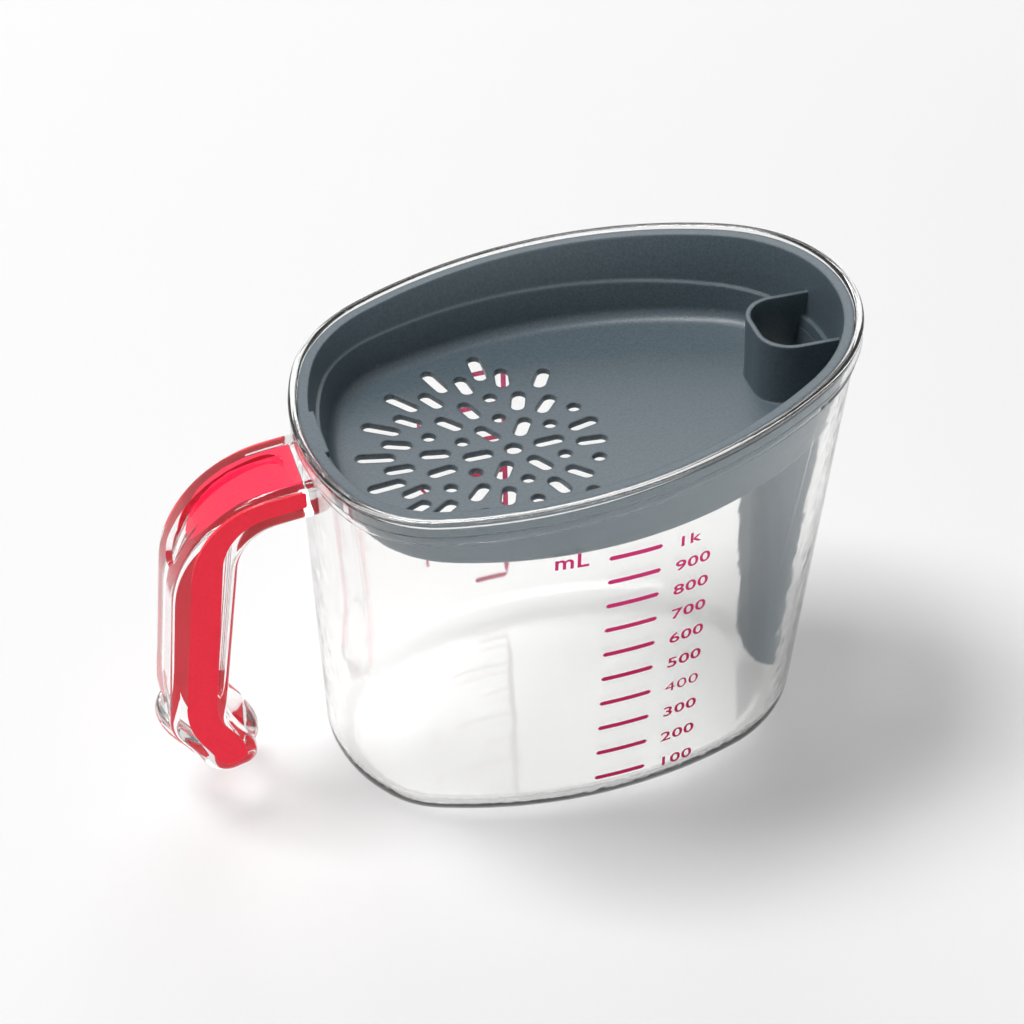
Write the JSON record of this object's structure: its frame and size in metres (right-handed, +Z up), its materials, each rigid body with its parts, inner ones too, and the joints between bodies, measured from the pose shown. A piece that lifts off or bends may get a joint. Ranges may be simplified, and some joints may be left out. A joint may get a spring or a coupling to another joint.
{
  "type": "gravy fat separator",
  "caption": "Clear egg-shaped jug with a lift-out perforated strainer tray, a pouring channel from the floor to the spout and a free-ended side handle with soft grips.",
  "frame": {"origin": "on the table under the jug, on the symmetry plane, between the middles of the foot and of the rim", "axes": "+X from the handle to the spout, +Y to the left seen from the handle, +Z up"},
  "size_m": [0.2103, 0.1254, 0.1379],
  "materials": {
    "clear_plastic": "clear, polished",
    "grip_red": "matt, soft touch",
    "tray_grey": "fine satin texture"
  },
  "bodies": {
    "jug": {"jug_body": "clear_plastic", "handle": "clear_plastic", "grip_inlay_left": "grip_red", "grip_inlay_right": "grip_red"},
    "strainer": {"strainer_insert": "tray_grey"}
  },
  "joints": [
    {"name": "strainer_lift", "type": "slide", "parent": "jug", "child": "strainer", "axis": [0, 0, 1], "range_m": [0, 0.13]}
  ]
}
